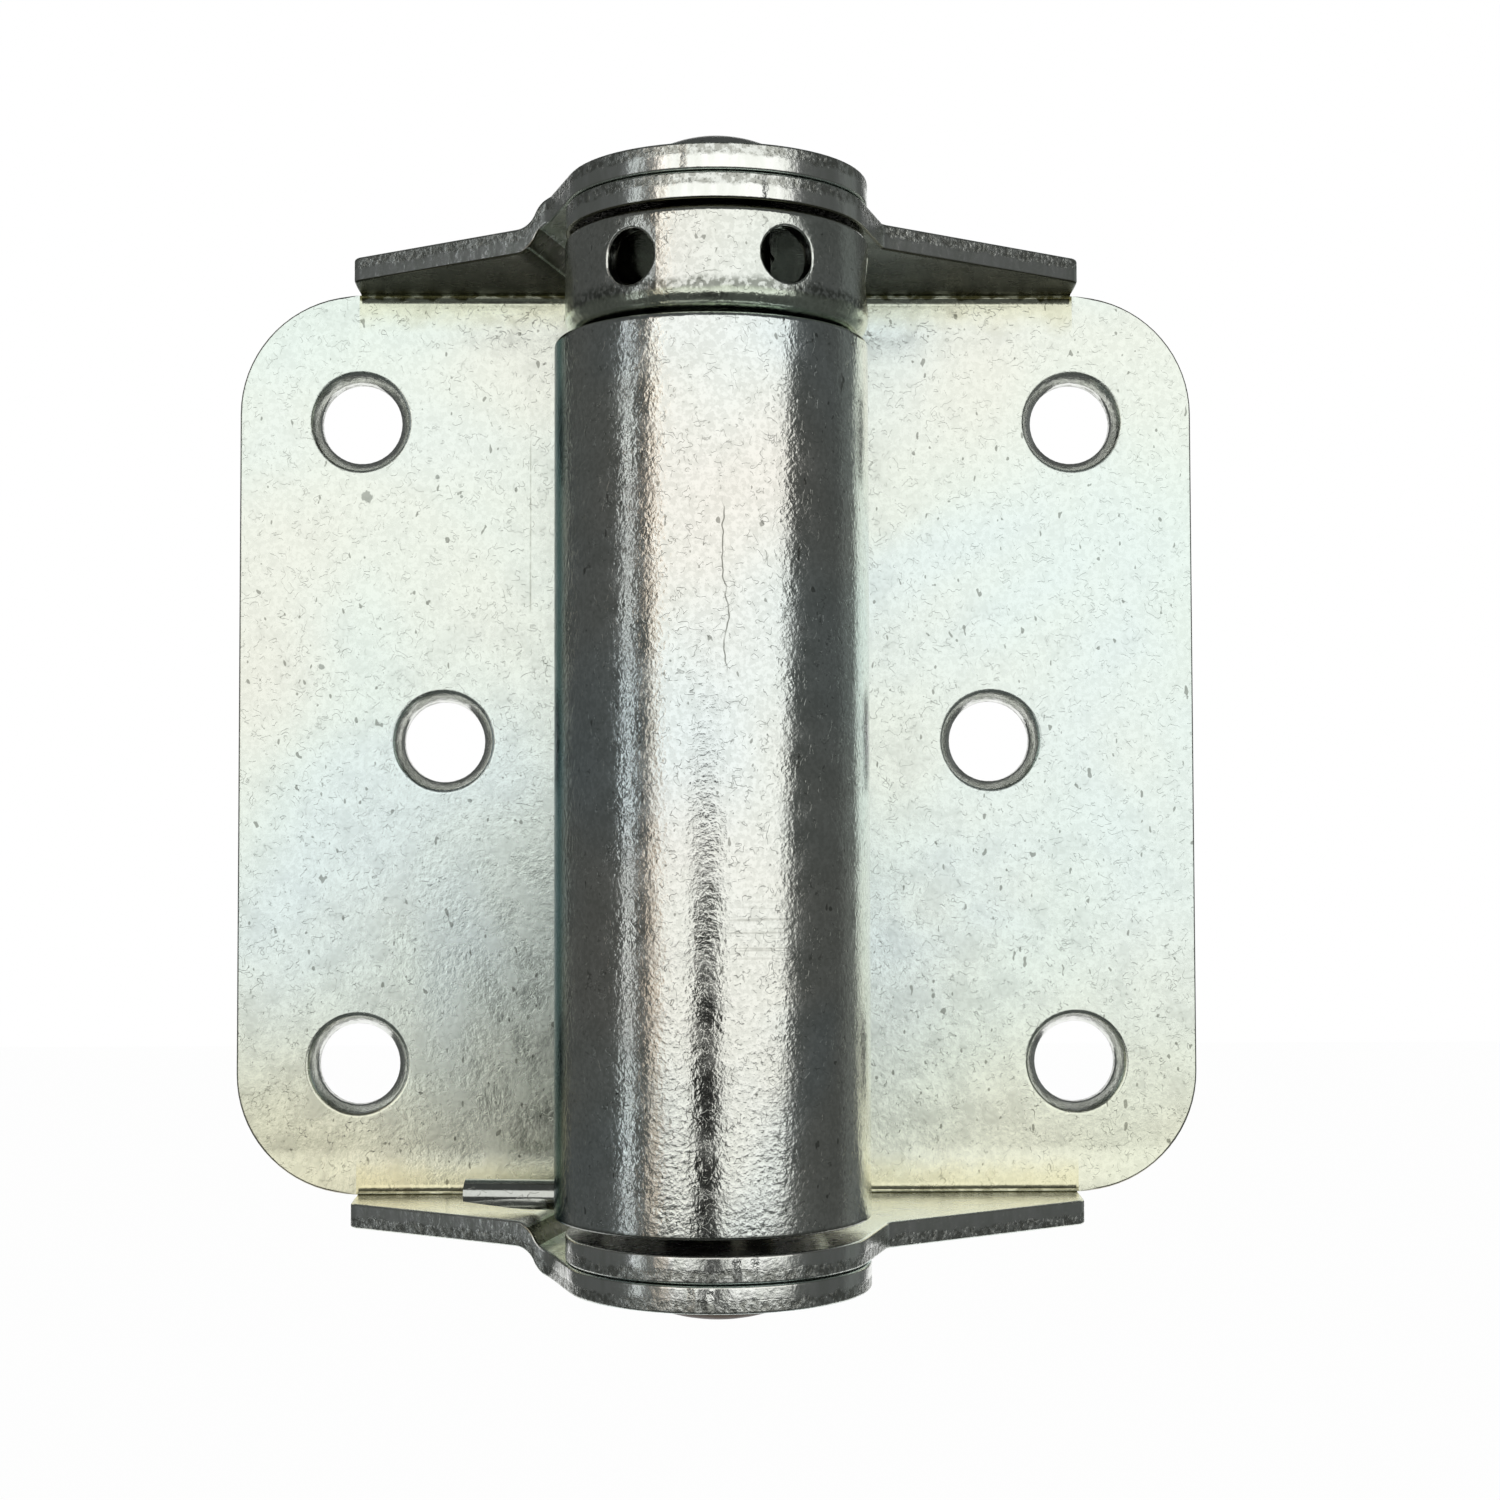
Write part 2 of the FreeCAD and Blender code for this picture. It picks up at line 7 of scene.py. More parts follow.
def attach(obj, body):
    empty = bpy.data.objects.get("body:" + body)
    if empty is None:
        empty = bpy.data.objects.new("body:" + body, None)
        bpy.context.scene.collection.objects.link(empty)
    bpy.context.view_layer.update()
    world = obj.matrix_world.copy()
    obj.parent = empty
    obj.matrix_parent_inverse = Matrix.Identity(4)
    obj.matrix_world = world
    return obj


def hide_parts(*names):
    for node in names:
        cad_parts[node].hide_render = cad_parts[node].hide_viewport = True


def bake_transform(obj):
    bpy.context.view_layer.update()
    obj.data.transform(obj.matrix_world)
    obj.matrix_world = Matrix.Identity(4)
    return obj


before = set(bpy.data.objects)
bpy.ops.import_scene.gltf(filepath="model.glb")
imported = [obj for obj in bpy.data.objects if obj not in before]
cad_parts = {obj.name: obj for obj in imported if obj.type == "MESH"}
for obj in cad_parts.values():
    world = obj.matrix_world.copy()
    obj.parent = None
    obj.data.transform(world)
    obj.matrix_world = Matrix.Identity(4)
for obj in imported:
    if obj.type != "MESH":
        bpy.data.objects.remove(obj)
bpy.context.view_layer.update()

MM = 0.001

# Sizes of the hinge in millimetres, measured from the pin axis: Y towards the mounting plane, Z up the pin
AXIS_TO_BACK = 19.9
SHEET = 1.9
LEAF_FRONT = AXIS_TO_BACK - SHEET
LEAF_EDGE = 0.20
EAR_INSIDE = 35.8
BEND_RADIUS = 0.8
FOLD_CENTRE = (LEAF_FRONT - BEND_RADIUS, EAR_INSIDE - BEND_RADIUS)
FOLD_FROM = 12.5
FOLD_TO = 28.5
FOLD_SLACK = 0.05
JOGGLE_RISE = 2.0
JOGGLE_START = -15.6
JOGGLE_END = -12.4
JOGGLE_SKEW = math.radians(14)
BARREL_RADIUS = 11.35
BARREL_WALL = 1.0
BARREL_SHIFT = -0.4
BARREL_FOOT = -34.7
BARREL_TOP = 28.0
BARREL_EDGE = 0.45
BARREL_EASE = 0.2
COLLAR_RADIUS = 11.0
COLLAR_WALL = 1.2
COLLAR_FOOT = 28.2
COLLAR_ROLL = 1.5
COLLAR_EDGE = 0.18
NOTCH_TOP = -33.19
NOTCH_CLEARANCE = 0.15
WIRE_RADIUS = 1.13
COIL_RADIUS = 7.0
COIL_FOOT = -34.47
COIL_HEAD = 27.87
COIL_TURNS = 18
TAIL_ANGLE = math.radians(6)
TAIL_REACH = 19.0
TAIL_CROP = 5.0
TAIL_CROP_ANGLE = math.radians(8)
LEG_BEND = 1.6
LEG_TOP = 34.9

# How finely the round shapes are divided
EASE_STEPS = 3
ROLL_STEPS = 9
BARREL_COLUMNS = 240
BARREL_ROWS = 12
TAIL_STEPS = 12
TURN_STEPS = 48
BEND_STEPS = 8
WIRE_SIDES = 20

# Edges that turn by more than these angles are eased, or shaded as sharp
SHARP_ANGLE = math.radians(32)
SMOOTH_ANGLE = math.radians(38)

# An eased edge stops this many widths short of a corner with three sharp edges
EASE_STOP = 5.5

# A sheared face leans by less than this along the sheet's own normal, on the ear and on the plate
EAR_LEAN = 0.35
PLATE_LEAN = 0.72
# A sheared end of a fold faces along the fold by more than this
FOLD_END_LEAN = 0.5

# Distances in front of the leaf's front face, in millimetres, between which a mark fades
FRONT_SKIN = (-0.2, -0.5)
ON_PLATE = (0.4, 0.2)
ON_EAR = (0.7, 0.5)
NEAR_PLATE = (1.0, 0.6)
PAST_FOLD = (1.4, 1.0)

# Places of the marks on the leaves in millimetres, where a pair is the two ends of a fade
FOLD_DRIFT = 2.0
STAIN_HALF = FOLD_TO + 0.1
STRAW_LEVELS = (32.5, 35.0)
CREASE_LEVELS = (35.35, 35.6)
FOOT_LEVELS = (-34.0, -15.0)
CORNER_SPAN = (-34.0, -18.0)
FACE_SKIN = 0.3
JOGGLE_MIDDLE = EAR_INSIDE + JOGGLE_RISE / 2
SCUFF_ACROSS = -14.9
SCUFF_UP = 16.5
SCUFF_WIDTH = (0.03, 0.09)
SCUFF_LENGTH = (6.0, 9.0)
SWELL_LEVELS = (32.2, EAR_INSIDE)
SWELL_RISE = 0.26

# Dark spots on the frame leaf's front: across, up and radius
LEAF_SPOTS = [(-28.0, 19.6, 0.45), (-22.35, 21.2, 0.22), (-20.4, 19.6, 0.16), (-19.7, -4.7, 0.2),
              (-31.5, 6.0, 0.25)]

# Places of the marks on the barrel, the pin and the collar in millimetres, with depth from the mounting plane
SCRATCH_ACROSS = 0.45
SCRATCH_SWAY = 2.2
SCRATCH_UP = 9.3
SCRATCH_WIDTH = (0.02, 0.07)
SCRATCH_LENGTH = (5.0, 6.2)
FLANK_SPAN = (-11.2, -10.0)
FLANK_DEPTH = (-18.5, -17.0)
BARREL_FOOT_LEVELS = (-34.6, -34.3)
STREAKS_ACROSS = 2.8
STREAKS_UP = -14.2
STREAKS_WIDTH = (1.5, 2.8)
STREAKS_HEIGHT = (1.2, 2.6)
PEENED_LEVELS = (-40.1, -39.8)
ROLLED_LEVELS = (29.6, 29.9)
ROLL_LINE = 30.0
ROLL_LINE_WIDTH = (0.1, 0.7)
ROLL_DRIFT = 0.8
GREASE_SHADE_FADE = 0.1

# Radius in millimetres below which each piece is dark, greasy and in painted shade
BARREL_GREASE_SHADE = 10.2
COLLAR_GREASE_SHADE = 10.0
PIN_GREASE_SHADE = 4.4

# Tints of the zinc: ground, second ground, blue drift and warm drift
LEAF_TINTS = [(0.87, 0.92, 0.85, 1), (0.84, 0.93, 0.88, 1), (0.82, 0.92, 0.92, 1), (0.89, 0.90, 0.82, 1)]
BARREL_TINTS = [(0.89, 0.89, 0.83, 1), (0.86, 0.91, 0.88, 1), (0.82, 0.91, 0.94, 1), (0.91, 0.88, 0.82, 1)]
COLLAR_TINTS = [(0.86, 0.86, 0.80, 1), (0.83, 0.87, 0.82, 1), (0.81, 0.87, 0.88, 1), (0.86, 0.83, 0.78, 1)]
PIN_TINTS = [(0.74, 0.74, 0.69, 1), (0.71, 0.74, 0.71, 1), (0.70, 0.74, 0.75, 1), (0.74, 0.71, 0.68, 1)]
WIRE_TINTS = [(0.60, 0.61, 0.55, 1), (0.56, 0.60, 0.56, 1), (0.56, 0.60, 0.60, 1), (0.60, 0.57, 0.53, 1)]

# Colours that the zinc is multiplied by
CLEAR = (1, 1, 1, 1)
GRAIN_GREY = (0.62, 0.63, 0.61, 1)
CLOUD_GREY = (0.72, 0.73, 0.70, 1)
WORM_GREY = (0.46, 0.46, 0.45, 1)
HAIR_GREY = (0.36, 0.36, 0.34, 1)
SPECK_GREY = (0.24, 0.24, 0.22, 1)
# Greasy and in painted shade: the inside of the barrel and the collar, and the pin's shank
GREASE_SHADE = (0.10, 0.095, 0.07, 1)
STRAW = (0.98, 0.92, 0.72, 1)
FOOT_STRAW = (1.0, 0.94, 0.80, 1)
CORNER_STRAW = (1.0, 0.91, 0.76, 1)
# Painted shade under the upper ears
EAR_UNDERSIDE_SHADE = (0.15, 0.14, 0.10, 1)
# Painted shade on the joggle's ramp
JOGGLE_SHADE = (0.20, 0.19, 0.14, 1)
# Painted shade in the creases
CREASE_SHADE = (0.17, 0.16, 0.09, 1)
SCUFF_GREY = (0.5, 0.5, 0.46, 1)
SPOT_GREY = (0.30, 0.31, 0.30, 1)
SCRATCH_GREY = (0.22, 0.22, 0.20, 1)
# Painted shade on the barrel's left flank, and its reflection painted dark
FLANK_SHADE = (0.23, 0.28, 0.29, 1)
FLANK_REFLECTION_SHADE = (0.30, 0.34, 0.35, 1)
# Painted shade at the barrel's foot
BARREL_FOOT_SHADE = (0.25, 0.25, 0.22, 1)
STREAK_GREY = (0.40, 0.39, 0.36, 1)
PEENED_BROWN = (0.34, 0.27, 0.24, 1)
# The peened head's glancing reflection, painted dark
PEENED_REFLECTION_SHADE = (0.1, 0.08, 0.07, 1)
# Painted shade on the collar's rolled foot
ROLLED_FOOT_SHADE = (0.86, 0.90, 0.80, 1)
ROLL_LINE_DARK = (0.16, 0.17, 0.14, 1)
EDGE_BROWN = (0.40, 0.34, 0.24, 1)

# Colours that take the zinc's place: the painted highlight on the top of a lower ear, and the two bands of a
# sheared edge
EAR_TOP_HIGHLIGHT = (1.0, 1.0, 0.98, 1)
BURNISH = [(0.86, 0.88, 0.83, 1), (0.97, 0.98, 0.95, 1)]
TORN = [(0.46, 0.47, 0.43, 1), (0.80, 0.82, 0.78, 1)]

# The camera, fitted to the leaves' outline, the holes and the rings
PHOTO_SIZE = 1500
FOCAL_PIXELS = 2363.13
SENSOR_MM = 36.0
CAMERA_PLACE = Vector((-0.0002041, -0.1902256, -0.0082401))
CAMERA_YAW = 0.0149
CAMERA_PITCH = 0.0399
CAMERA_ROLL = -0.0025

# The studio in metres
LAMP_AIM = Vector((0, -0.02, 0))
FLOOR_LEVEL = -0.10
FLOOR_FRONT = -0.005
FLOOR_FRONT_HALF = 0.10
BACKDROP_PLACE = 0.9
BACKDROP_HALF = 0.42
BACKDROP_TOP = 0.5
DARK_PANEL_PLACE = -0.215
DARK_PANEL_SIDES = (-0.044, 0.014)
DARK_PANEL_LEVELS = (-0.16, -0.010)


def at(x, y, z):
    """A point of the hinge, given from the pin axis in millimetres, in the scene's metres."""
    return Vector((x * MM, (y - AXIS_TO_BACK) * MM, z * MM))


def from_axis(point):
    """A point of the scene as millimetres from the pin axis."""
    return point.x / MM, point.y / MM + AXIS_TO_BACK, point.z / MM


class Finish:
    """A metal finish, whose nodes are each added and linked in one call."""

    def __init__(self, name):
        self.material = bpy.data.materials.new(name)
        self.material.use_nodes = True
        self.tree = self.material.node_tree
        self.tree.nodes.clear()
        self.place = self.add("ShaderNodeTexCoord", {}).outputs["Object"]

    def add(self, kind, inputs, **settings):
        """A node with its settings, and each input linked to a socket or set to a value."""
        node = self.tree.nodes.new(kind)
        for key, value in settings.items():
            setattr(node, key, value)
        for key, value in inputs.items():
            if isinstance(value, bpy.types.NodeSocket):
                self.tree.links.new(value, node.inputs[key])
            else:
                node.inputs[key].default_value = value
        return node

    def axes(self):
        """The place on the piece as its X, Y and Z."""
        return self.add("ShaderNodeSeparateXYZ", {"Vector": self.place}).outputs

    def calc(self, operation, a, b=0.0):
        return self.add("ShaderNodeMath", {0: a, 1: b}, operation=operation).outputs[0]

    def times(self, a, b):
        return self.calc("MULTIPLY", a, b)

    def plus(self, a, b):
        return self.calc("ADD", a, b)

    def minus(self, a, b):
        return self.calc("SUBTRACT", a, b)

    def apart(self, a, b):
        """How far two values are apart."""
        return self.calc("ABSOLUTE", self.minus(a, b))

    def distance(self, a, b):
        """The length of the slope over two level sides."""
        return self.calc("SQRT", self.plus(self.times(a, a), self.times(b, b)))

    def sway(self, noise, reach):
        """A noise as a shift to either side of nothing, which spans reach from end to end."""
        return self.times(self.minus(noise, 0.5), reach)

    def noise(self, scale, detail=2.0, roughness=0.5, stretch=None, bend=0.0, offset=0.0):
        place = self.place
        if stretch or offset:
            place = self.add("ShaderNodeMapping", {"Vector": place, "Location": (offset, offset, offset),
                                                   "Scale": stretch or (1, 1, 1)}).outputs[0]
        return self.add("ShaderNodeTexNoise", {"Vector": place, "Scale": scale, "Detail": detail,
                                               "Roughness": roughness, "Distortion": bend}).outputs[0]

    def between(self, value, low, high, start=0.0, end=1.0):
        """start below low, end above high, and a smooth run between them."""
        return self.add("ShaderNodeMapRange", {"Value": value, "From Min": low, "From Max": high,
                                               "To Min": start, "To Max": end},
                        interpolation_type="SMOOTHSTEP").outputs[0]

    def fade(self, value, ends, start=0.0, end=1.0):
        """The same smooth run, with its two ends given in millimetres."""
        return self.between(value, ends[0] * MM, ends[1] * MM, start, end)

    def fade_ahead(self, y, ends, start=0.0, end=1.0):
        """The same smooth run, with its two ends given in front of the leaf's front face."""
        return self.fade(y, (-(SHEET + ends[0]), -(SHEET + ends[1])), start, end)

    def mix(self, share, first, second):
        return self.add("ShaderNodeMix", {0: share, 6: first, 7: second}, data_type="RGBA").outputs[2]

    def shade(self, share, colour, factor):
        """A colour multiplied by a factor where share is 1."""
        return self.add("ShaderNodeMix", {0: share, 6: colour, 7: factor}, data_type="RGBA",
                        blend_type="MULTIPLY").outputs[2]

    def hairlines(self, scale, width, rarity, offset):
        """Short curved hair scratches: thin level lines of a noise, kept only where another noise is high."""
        level = self.apart(self.noise(scale, 1.5, 0.4, bend=0.6, offset=offset), 0.5)
        line = self.between(level, 0.0, width, 1.0, 0.0)
        kept = self.between(self.noise(scale * 0.8, 1.0, offset=offset + 3.1), rarity, rarity + 0.05)
        return self.times(line, kept)

    def close(self, colour, roughness, height, strength=0.4, depth=0.00003, swell=None, glance=CLEAR):
        """Joins the metal: swell is a slow rise of the surface, and glance its colour seen at a low angle."""
        bump = self.add("ShaderNodeBump", {"Height": height, "Strength": strength, "Distance": depth})
        if swell:
            wide = self.add("ShaderNodeBump", {"Height": swell, "Strength": 1.0, "Distance": 1.0})
            self.tree.links.new(wide.outputs[0], bump.inputs["Normal"])
        shader = self.add("ShaderNodeBsdfPrincipled",
                          {"Base Color": colour, "Metallic": 1.0, "Roughness": roughness,
                           "Specular Tint": glance, "Normal": bump.outputs[0]})
        self.add("ShaderNodeOutputMaterial", {"Surface": shader.outputs[0]})
        return self.material


def zinc_plate(name, tints, flecks=1.0, grain=1.0, gloss=0.24, marks=None, grease_shade=0.0):
    """Zinc plate with a clear passivate: pale drifting tints, a fine grain, dark flecks and hair scratches.

    marks adds the piece's own marks. The last keyword is the radius in millimetres below which the piece is
    dark, greasy and in painted shade.
    """
    f = Finish(name)
    colour = f.mix(f.between(f.noise(34.0, 2.0, 0.5, bend=0.6), 0.38, 0.62), tints[0], tints[1])
    colour = f.mix(f.between(f.noise(42.0, 2.0, 0.5, bend=0.5, offset=0.37), 0.48, 0.72), colour, tints[2])
    colour = f.mix(f.between(f.noise(28.0, 2.0, 0.5, offset=0.81), 0.52, 0.74), colour, tints[3])
    grains = f.noise(2900.0, 2.0, 0.55)
    clouds = f.noise(420.0, 3.0, 0.6)
    colour = f.shade(f.between(grains, 0.40, 0.60, 0.20 * flecks, 0.0), colour, GRAIN_GREY)
    colour = f.shade(f.between(clouds, 0.36, 0.60, 0.12 * flecks, 0.0), colour, CLOUD_GREY)
    worms = f.hairlines(1500.0, 0.020, 0.52, 0.13)
    hairs = f.hairlines(560.0, 0.006, 0.60, 0.21)
    specks = f.between(f.noise(1900.0, 1.0, 0.3, stretch=(1.0, 1.0, 0.6), offset=0.5), 0.75, 0.78)
    colour = f.shade(f.times(worms, 0.46 * flecks), colour, WORM_GREY)
    colour = f.shade(f.times(hairs, 0.55), colour, HAIR_GREY)
    colour = f.shade(f.times(specks, 0.70), colour, SPECK_GREY)
    height = f.plus(f.times(grains, grain), f.times(clouds, 1.5 * grain))
    height = f.minus(height, f.times(f.plus(worms, hairs), 0.5))
    roughness = f.between(clouds, 0.3, 0.7, gloss - 0.04, gloss + 0.06)
    extra = {}
    if marks:
        colour, extra = marks(f, colour, clouds)
    # Greasy and in painted shade on the inside faces
    if grease_shade:
        x, y, z = f.axes()
        out = f.distance(x, f.plus(y, AXIS_TO_BACK * MM))
        greased_shade = f.times(f.fade(out, (grease_shade - GREASE_SHADE_FADE, grease_shade), 0.92, 0.0),
                          f.calc("LESS_THAN", f.calc("ABSOLUTE", z), EAR_INSIDE * MM))
        colour = f.shade(greased_shade, colour, GREASE_SHADE)
    return f.close(colour, roughness, height, **extra)


def leaf_marks(f, colour, clouds):
    """Straw stain at the folds and the foot, painted shade in the creases, under the upper ears and on the
    joggle, a painted highlight on the tops of the lower ears, a scuff and dark spots.
    """
    x, y, z = f.axes()
    height = f.calc("ABSOLUTE", z)
    level = f.plus(height, f.sway(clouds, FOLD_DRIFT * MM))
    in_front = f.fade_ahead(y, FRONT_SKIN, 1.0, 0.0)
    plate = f.times(in_front, f.fade_ahead(y, ON_PLATE))
    ear = f.fade_ahead(y, ON_EAR, 1.0, 0.0)
    by_fold = f.times(f.times(in_front, f.fade_ahead(y, NEAR_PLATE)),
                      f.calc("LESS_THAN", f.calc("ABSOLUTE", x), STAIN_HALF * MM))
    foot = f.times(plate, f.fade(z, FOOT_LEVELS, 1.0, 0.0))
    colour = f.shade(f.times(foot, 0.75), colour, FOOT_STRAW)
    corner = f.times(foot, f.fade(x, CORNER_SPAN, 0.7, 0.0))
    colour = f.shade(corner, colour, CORNER_STRAW)
    # Painted shade on the inside face of the upper ear
    underside = f.times(ear, f.calc("LESS_THAN", f.apart(z, EAR_INSIDE * MM), FACE_SKIN * MM))
    colour = f.shade(underside, colour, EAR_UNDERSIDE_SHADE)
    # Painted shade on the inside of the joggle's ramp
    joggle = f.times(f.fade_ahead(y, PAST_FOLD, 1.0, 0.0),
                     f.calc("LESS_THAN", f.apart(height, JOGGLE_MIDDLE * MM), 2 * FACE_SKIN * MM))
    colour = f.shade(joggle, colour, JOGGLE_SHADE)
    # Painted highlight on the top face of the lower ear
    upside = f.times(ear, f.calc("LESS_THAN", f.apart(z, -EAR_INSIDE * MM), FACE_SKIN * MM))
    colour = f.mix(f.times(upside, 0.95), colour, EAR_TOP_HIGHLIGHT)
    straw = f.times(by_fold, f.fade(level, STRAW_LEVELS))
    colour = f.shade(f.times(straw, 0.7), colour, STRAW)
    # Painted shade in the crease below each fold, broken up by a noise
    crease = f.times(by_fold, f.fade(level, CREASE_LEVELS))
    broken = f.times(f.between(f.noise(900.0, 2.0), 0.36, 0.50, 0.45, 1.0), f.fade(z, (-1.0, 1.0), 0.6, 1.0))
    colour = f.shade(f.times(crease, broken), colour, CREASE_SHADE)
    scuff = f.times(f.fade(f.apart(x, SCUFF_ACROSS * MM), SCUFF_WIDTH, 1.0, 0.0),
                    f.fade(f.apart(z, SCUFF_UP * MM), SCUFF_LENGTH, 1.0, 0.0))
    scuff = f.times(f.times(scuff, plate), f.between(clouds, 0.42, 0.56, 0.0, 0.6))
    colour = f.shade(scuff, colour, SCUFF_GREY)
    for across, up, radius in LEAF_SPOTS:
        off = f.distance(f.minus(x, across * MM), f.minus(z, up * MM))
        off = f.plus(off, f.sway(f.noise(2300.0), 1.6 * radius * MM))
        spot = f.times(plate, f.fade(off, (0.7 * radius, radius), 0.7, 0.0))
        colour = f.shade(spot, colour, SPOT_GREY)
    fillet = f.times(plate, f.fade(height, SWELL_LEVELS, 0.0, SWELL_RISE * MM))
    return colour, {"swell": fillet}


def barrel_marks(f, colour, clouds):
    """A long wavy hair scratch on the upper front, painted shade and a painted dark reflection on the left
    flank, painted shade along the foot and short level streaks.
    """
    x, y, z = f.axes()
    wave = f.add("ShaderNodeTexNoise", {"W": z, "Scale": 210.0, "Detail": 3.0},
                 noise_dimensions="1D").outputs[0]
    line = f.plus(f.sway(wave, SCRATCH_SWAY * MM), SCRATCH_ACROSS * MM)
    scratch = f.times(f.fade(f.apart(x, line), SCRATCH_WIDTH, 1.0, 0.0),
                      f.fade(f.apart(z, SCRATCH_UP * MM), SCRATCH_LENGTH, 1.0, 0.0))
    scratch = f.times(scratch, f.calc("LESS_THAN", y, -AXIS_TO_BACK * MM))
    scratch = f.times(scratch, f.between(clouds, 0.36, 0.50, 0.25, 0.9))
    colour = f.shade(scratch, colour, SCRATCH_GREY)
    # Painted shade on the barrel's left flank, with its glancing reflection painted dark too
    flank = f.times(f.fade(x, FLANK_SPAN, 1.0, 0.0), f.fade(y, FLANK_DEPTH, 1.0, 0.0))
    colour = f.shade(flank, colour, FLANK_SHADE)
    # Painted shade along the barrel's foot
    colour = f.shade(f.fade(z, BARREL_FOOT_LEVELS, 0.8, 0.0), colour, BARREL_FOOT_SHADE)
    streaks = f.between(f.noise(1.0, 1.0, stretch=(160.0, 160.0, 5600.0)), 0.54, 0.68, 0.0, 0.35)
    window = f.times(f.fade(f.apart(x, STREAKS_ACROSS * MM), STREAKS_WIDTH, 1.0, 0.0),
                     f.fade(f.apart(z, STREAKS_UP * MM), STREAKS_HEIGHT, 1.0, 0.0))
    colour = f.shade(f.times(streaks, window), colour, STREAK_GREY)
    return colour, {"glance": f.mix(flank, CLEAR, FLANK_REFLECTION_SHADE)}


def pin_marks(f, colour, clouds):
    """The dark brown bare metal of the peened lower head, whose reflection at a low angle is painted dark."""
    x, y, z = f.axes()
    peened = f.fade(z, PEENED_LEVELS, 0.85, 0.0)
    return f.shade(peened, colour, PEENED_BROWN), {"glance": f.mix(peened, CLEAR, PEENED_REFLECTION_SHADE)}


def collar_marks(f, colour, clouds):
    """A band of painted shade round the collar's rolled foot, below a dark ragged line."""
    x, y, z = f.axes()
    level = f.plus(z, f.sway(clouds, ROLL_DRIFT * MM))
    # Painted shade on the rolled foot
    colour = f.shade(f.fade(level, ROLLED_LEVELS, 1.0, 0.0), colour, ROLLED_FOOT_SHADE)
    line = f.fade(f.apart(level, ROLL_LINE * MM), ROLL_LINE_WIDTH, 0.75, 0.0)
    line = f.times(line, f.between(f.noise(2700.0, 2.0), 0.38, 0.58, 0.2, 1.0))
    return f.shade(line, colour, ROLL_LINE_DARK), {}


def sheared_edge(name, upper_nib, lower_nib):
    """The cut edge of the sheet: a bright burnished band, a dull fractured band and a nib where two cuts met.

    The nibs are given as turns round the pin from the front, in degrees, on the upper and the lower ring.
    """
    f = Finish(name)
    depth = f.add("ShaderNodeAttribute", {}, attribute_name="cut_depth").outputs["Fac"]
    level = f.plus(depth, f.sway(f.noise(800.0, 3.0, 0.6), 0.45))
    fractured = f.between(level, 0.48, 0.60)
    streaks = f.noise(1100.0, 2.0, stretch=(1.0, 1.0, 0.3))
    flecks = f.noise(1900.0, 3.0, 0.6)
    burnish = f.mix(f.between(streaks, 0.35, 0.65), *BURNISH)
    torn = f.mix(f.between(flecks, 0.42, 0.58), *TORN)
    colour = f.mix(fractured, burnish, torn)
    rolled = f.between(depth, 0.02, 0.10, 0.8, 0.0)
    colour = f.shade(rolled, colour, EDGE_BROWN)
    x, y, z = f.axes()
    forward = f.times(f.plus(y, AXIS_TO_BACK * MM), -1.0)
    turn = f.calc("ARCTAN2", x, forward)
    is_upper = f.calc("GREATER_THAN", z, 0.0)
    nib_turn = f.between(is_upper, 0.0, 1.0, math.radians(lower_nib), math.radians(upper_nib))
    away = f.plus(f.apart(turn, nib_turn), f.sway(flecks, 0.06))
    nib = f.between(away, 0.020, 0.090, 1.0, 0.0)
    height = f.plus(f.times(flecks, f.between(fractured, 0.0, 1.0, 0.5, 1.6)), f.times(streaks, 0.5))
    height = f.plus(height, f.times(nib, 2.2))
    height = f.minus(height, f.times(fractured, 0.7))
    glints = f.between(f.noise(3600.0, 2.0, 0.5, offset=0.3), 0.55, 0.70, 0.0, 0.4)
    roughness = f.plus(f.between(fractured, 0.0, 1.0, 0.20, 0.26),
                       f.times(glints, f.between(fractured, 0.0, 1.0, 0.15, 1.0)))
    return f.close(colour, roughness, height, strength=0.8, depth=0.00006)


def place_camera():
    """The camera at the place and angle of the photo."""
    ahead = Vector((math.sin(CAMERA_YAW) * math.cos(CAMERA_PITCH),
                    math.cos(CAMERA_YAW) * math.cos(CAMERA_PITCH),
                    math.sin(CAMERA_PITCH)))
    level_right = ahead.cross(Vector((0, 0, 1))).normalized()
    level_up = level_right.cross(ahead)
    right = level_right * math.cos(CAMERA_ROLL) + level_up * math.sin(CAMERA_ROLL)
    up = level_up * math.cos(CAMERA_ROLL) - level_right * math.sin(CAMERA_ROLL)
    camera = bpy.data.objects.new("photo_camera", bpy.data.cameras.new("photo_camera"))
    camera.data.sensor_width = SENSOR_MM
    camera.data.lens = SENSOR_MM * FOCAL_PIXELS / PHOTO_SIZE
    camera.data.clip_start = 0.01
    rotation = Matrix((right, up, -ahead)).transposed()
    camera.matrix_world = Matrix.Translation(CAMERA_PLACE) @ rotation.to_4x4()
    bpy.context.scene.collection.objects.link(camera)
    bpy.context.scene.camera = camera


def node_shape(name):
    """A copy of a CAD piece as a joined shape with its flat faces whole."""
    shape = bmesh.new()
    shape.from_mesh(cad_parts[name].data)
    bmesh.ops.remove_doubles(shape, verts=shape.verts, dist=1e-6)
    bmesh.ops.dissolve_limit(shape, angle_limit=math.radians(0.4), verts=shape.verts, edges=shape.edges)
    bmesh.ops.recalc_face_normals(shape, faces=shape.faces)
    return shape


def is_sharp(edge):
    """True for an edge whose two faces turn away from each other by more than the sharp angle."""
    return len(edge.link_faces) == 2 and edge.calc_face_angle() > SHARP_ANGLE


